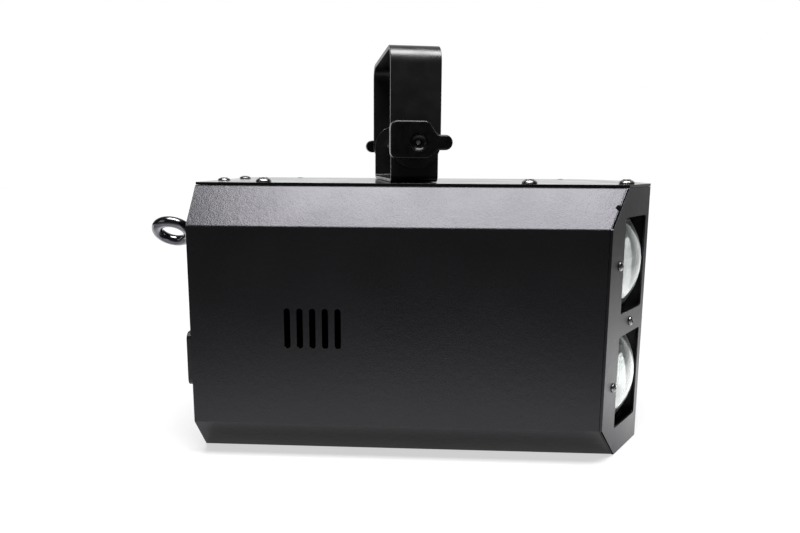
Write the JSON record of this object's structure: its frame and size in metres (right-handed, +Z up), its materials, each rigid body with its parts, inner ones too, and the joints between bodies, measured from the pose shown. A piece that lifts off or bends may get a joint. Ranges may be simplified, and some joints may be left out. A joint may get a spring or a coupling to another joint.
{
  "type": "led party effect light",
  "caption": "Box-shaped party effect light with an eight-sided case, domed lenses in an angled front, a slotted drum and a swivelling yoke.",
  "frame": {"origin": "middle of the flat underside of the case, which is the bottom_centre mount", "axes": "+X is the way the light shines, +Z is up and +Y is to the left as seen from behind"},
  "size_m": [0.3828, 0.2, 0.3055],
  "materials": {
    "black_powder_coat": "fine textured black powder coat",
    "black_satin_paint": "smooth satin black paint",
    "black_plastic": "moulded black plastic",
    "drum_plastic": "matt black plastic",
    "clear_acrylic": "clear polished acrylic",
    "bare_steel": "zinc plated steel",
    "black_nickel_steel": "polished black nickel",
    "aluminium": "plain extruded aluminium",
    "brass": "turned brass",
    "green_circuit_board": "green lacquered circuit board",
    "white_circuit_board": "white lacquered circuit board",
    "dark_red_window": "tinted dark red plastic"
  },
  "bodies": {
    "case": {"body_shell": "black_powder_coat", "lid": "black_powder_coat", "front_panel": "black_powder_coat", "rear_panel": "black_powder_coat", "drum_motor": "black_powder_coat", "fan_frame": "black_plastic", "power_inlet": "black_plastic", "data_input_socket": "black_plastic", "data_output_socket": "black_plastic", "lens_right_upper": "clear_acrylic", "lens_right_lower": "clear_acrylic", "lens_centre_upper": "clear_acrylic", "lens_centre_lower": "clear_acrylic", "lens_left_upper": "clear_acrylic", "lens_left_lower": "clear_acrylic", "lens_frame_right": "bare_steel", "lens_frame_centre": "bare_steel", "lens_frame_left": "bare_steel", "motor_bridge": "bare_steel", "safety_eye_nut": "bare_steel", "fan_guard": "bare_steel", "safety_eye": "black_nickel_steel", "light_column": "aluminium", "microphone": "aluminium", "control_board": "green_circuit_board", "supply_board": "green_circuit_board", "led_board_right": "white_circuit_board", "led_board_centre": "white_circuit_board", "led_board_left": "white_circuit_board", "display_window": "dark_red_window"},
    "swivel": {"base_bracket": "black_satin_paint", "swivel_bolt": "bare_steel", "swivel_nut": "bare_steel", "pivot_washer_right": "black_plastic", "pivot_washer_left": "black_plastic", "pivot_nut_right": "bare_steel", "pivot_nut_left": "bare_steel"},
    "yoke": {"yoke_bracket": "black_satin_paint"},
    "knob_right": {"clamp_knob_right": "black_plastic"},
    "knob_left": {"clamp_knob_left": "black_plastic"},
    "drum": {"beam_drum": "drum_plastic", "drum_hub": "brass", "motor_shaft": "bare_steel"},
    "fan": {"fan_rotor": "black_plastic"},
    "button_1": {"menu_button_1": "black_plastic"},
    "button_2": {"menu_button_2": "black_plastic"},
    "button_3": {"menu_button_3": "black_plastic"},
    "button_4": {"menu_button_4": "black_plastic"},
    "drawer": {"fuse_drawer": "black_plastic"}
  },
  "joints": [
    {"name": "bracket_swivel", "type": "hinge", "parent": "case", "child": "swivel", "pos_m": [-0.02121, 0, 0.2045], "axis": [0, 0, 1], "range_deg": [-90, 90]},
    {"name": "yoke_tilt", "type": "hinge", "parent": "swivel", "child": "yoke", "pos_m": [-0.02121, 0, 0.234], "axis": [-0.1882, 0.9821, 0], "range_deg": [-90, 90]},
    {"name": "clamp_knob_right_turn", "type": "hinge", "parent": "swivel", "child": "knob_right", "pos_m": [-0.02121, 0, 0.234], "axis": [0.1882, -0.9821, 0], "range_deg": [0, 360]},
    {"name": "clamp_knob_left_turn", "type": "hinge", "parent": "swivel", "child": "knob_left", "pos_m": [-0.02121, 0, 0.234], "axis": [-0.1882, 0.9821, 0], "range_deg": [0, 360]},
    {"name": "drum_spin", "type": "hinge", "parent": "case", "child": "drum", "pos_m": [0.05119, 0, 0.172], "axis": [0, 0, 1], "continuous": true},
    {"name": "fan_spin", "type": "hinge", "parent": "case", "child": "fan", "pos_m": [-0.16871, 0.052, 0.138], "axis": [1, 0, 0], "continuous": true},
    {"name": "menu_button_1_press", "type": "slide", "parent": "case", "child": "button_1", "axis": [1, 0, 0], "range_m": [0, 0.0008], "stiffness_N_per_m": 600, "springref_m": -0.0004},
    {"name": "menu_button_2_press", "type": "slide", "parent": "case", "child": "button_2", "axis": [1, 0, 0], "range_m": [0, 0.0008], "stiffness_N_per_m": 600, "springref_m": -0.0004},
    {"name": "menu_button_3_press", "type": "slide", "parent": "case", "child": "button_3", "axis": [1, 0, 0], "range_m": [0, 0.0008], "stiffness_N_per_m": 600, "springref_m": -0.0004},
    {"name": "menu_button_4_press", "type": "slide", "parent": "case", "child": "button_4", "axis": [1, 0, 0], "range_m": [0, 0.0008], "stiffness_N_per_m": 600, "springref_m": -0.0004},
    {"name": "fuse_drawer_pull", "type": "slide", "parent": "case", "child": "drawer", "axis": [-1, 0, 0], "range_m": [0, 0.018]}
  ]
}
